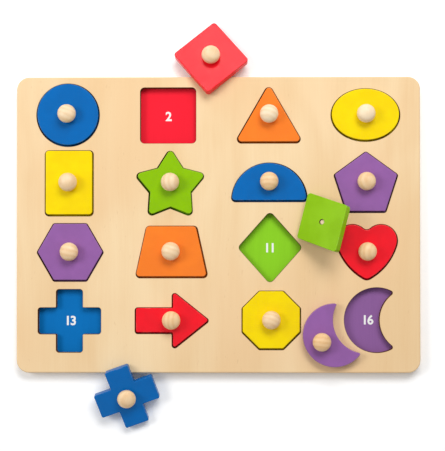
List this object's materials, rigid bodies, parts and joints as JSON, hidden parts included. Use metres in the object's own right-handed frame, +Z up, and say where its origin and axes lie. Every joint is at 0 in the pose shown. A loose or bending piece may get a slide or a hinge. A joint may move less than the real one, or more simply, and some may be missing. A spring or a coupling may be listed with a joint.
{
  "type": "wooden peg puzzle",
  "caption": "Wooden board with shaped recesses and matching painted blocks, each lifted by a round wooden knob; some blocks are seated and others lie loose.",
  "frame": {"origin": "centre of the underside of the board, in the plane that the board lies on", "axes": "+Z up out of the face with the recesses, +X along the long side to the right, +Y away from the near long edge"},
  "size_m": [0.3, 0.3019, 0.0319],
  "materials": {
    "birch_plywood": "clear satin lacquer over sanded birch",
    "backing_plywood": "plain sanded birch",
    "beech_knob": "smooth sanded beech",
    "beech_dowel": "plain beech",
    "print_blue": "matt printed floor",
    "print_red": "matt printed floor",
    "print_orange": "matt printed floor",
    "print_yellow": "matt printed floor",
    "print_green": "matt printed floor",
    "print_purple": "matt printed floor",
    "paint_blue": "satin water-based paint on wood",
    "paint_red": "satin water-based paint on wood",
    "paint_orange": "satin water-based paint on wood",
    "paint_yellow": "satin water-based paint on wood",
    "paint_green": "satin water-based paint on wood",
    "paint_purple": "satin water-based paint on wood"
  },
  "bodies": {
    "board": {"top_plate": "birch_plywood", "backing_board": "backing_plywood", "print_blue": "print_blue", "print_red": "print_red", "print_orange": "print_orange", "print_yellow": "print_yellow", "print_green": "print_green", "print_purple": "print_purple"},
    "circle_piece": {"circle_block": "paint_blue", "circle_knob": "beech_knob", "circle_dowel": "beech_dowel"},
    "square_piece": {"square_block": "paint_red", "square_knob": "beech_knob", "square_dowel": "beech_dowel"},
    "triangle_piece": {"triangle_block": "paint_orange", "triangle_knob": "beech_knob", "triangle_dowel": "beech_dowel"},
    "oval_piece": {"oval_block": "paint_yellow", "oval_knob": "beech_knob", "oval_dowel": "beech_dowel"},
    "rectangle_piece": {"rectangle_block": "paint_yellow", "rectangle_knob": "beech_knob", "rectangle_dowel": "beech_dowel"},
    "star_piece": {"star_block": "paint_green", "star_knob": "beech_knob", "star_dowel": "beech_dowel"},
    "semicircle_piece": {"semicircle_block": "paint_blue", "semicircle_knob": "beech_knob", "semicircle_dowel": "beech_dowel"},
    "pentagon_piece": {"pentagon_block": "paint_purple", "pentagon_knob": "beech_knob", "pentagon_dowel": "beech_dowel"},
    "hexagon_piece": {"hexagon_block": "paint_purple", "hexagon_knob": "beech_knob", "hexagon_dowel": "beech_dowel"},
    "trapezoid_piece": {"trapezoid_block": "paint_orange", "trapezoid_knob": "beech_knob", "trapezoid_dowel": "beech_dowel"},
    "rhombus_piece": {"rhombus_block": "paint_green", "rhombus_knob": "beech_knob", "rhombus_dowel": "beech_dowel"},
    "heart_piece": {"heart_block": "paint_red", "heart_knob": "beech_knob", "heart_dowel": "beech_dowel"},
    "cross_piece": {"cross_block": "paint_blue", "cross_knob": "beech_knob", "cross_dowel": "beech_dowel"},
    "arrow_piece": {"arrow_block": "paint_red", "arrow_knob": "beech_knob", "arrow_dowel": "beech_dowel"},
    "octagon_piece": {"octagon_block": "paint_yellow", "octagon_knob": "beech_knob", "octagon_dowel": "beech_dowel"},
    "crescent_piece": {"crescent_block": "paint_purple", "crescent_knob": "beech_knob", "crescent_dowel": "beech_dowel"}
  },
  "joints": [
    {"name": "circle_lift", "type": "slide", "parent": "board", "child": "circle_piece", "axis": [0, 0, 1], "range_m": [0, 0.012]},
    {"name": "square_lift", "type": "slide", "parent": "board", "child": "square_piece", "axis": [0, 0, 1], "range_m": [0, 0.012]},
    {"name": "triangle_lift", "type": "slide", "parent": "board", "child": "triangle_piece", "axis": [0, 0, 1], "range_m": [0, 0.012]},
    {"name": "oval_lift", "type": "slide", "parent": "board", "child": "oval_piece", "axis": [0, 0, 1], "range_m": [0, 0.012]},
    {"name": "rectangle_lift", "type": "slide", "parent": "board", "child": "rectangle_piece", "axis": [0, 0, 1], "range_m": [0, 0.012]},
    {"name": "star_lift", "type": "slide", "parent": "board", "child": "star_piece", "axis": [0, 0, 1], "range_m": [0, 0.012]},
    {"name": "semicircle_lift", "type": "slide", "parent": "board", "child": "semicircle_piece", "axis": [0, 0, 1], "range_m": [0, 0.012]},
    {"name": "pentagon_lift", "type": "slide", "parent": "board", "child": "pentagon_piece", "axis": [0, 0, 1], "range_m": [0, 0.012]},
    {"name": "hexagon_lift", "type": "slide", "parent": "board", "child": "hexagon_piece", "axis": [0, 0, 1], "range_m": [0, 0.012]},
    {"name": "trapezoid_lift", "type": "slide", "parent": "board", "child": "trapezoid_piece", "axis": [0, 0, 1], "range_m": [0, 0.012]},
    {"name": "rhombus_lift", "type": "slide", "parent": "board", "child": "rhombus_piece", "axis": [0, 0, 1], "range_m": [0, 0.012]},
    {"name": "heart_lift", "type": "slide", "parent": "board", "child": "heart_piece", "axis": [0, 0, 1], "range_m": [0, 0.012]},
    {"name": "cross_lift", "type": "slide", "parent": "board", "child": "cross_piece", "axis": [0, 0, 1], "range_m": [0, 0.012]},
    {"name": "arrow_lift", "type": "slide", "parent": "board", "child": "arrow_piece", "axis": [0, 0, 1], "range_m": [0, 0.012]},
    {"name": "octagon_lift", "type": "slide", "parent": "board", "child": "octagon_piece", "axis": [0, 0, 1], "range_m": [0, 0.012]},
    {"name": "crescent_lift", "type": "slide", "parent": "board", "child": "crescent_piece", "axis": [0, 0, 1], "range_m": [0, 0.012]}
  ]
}
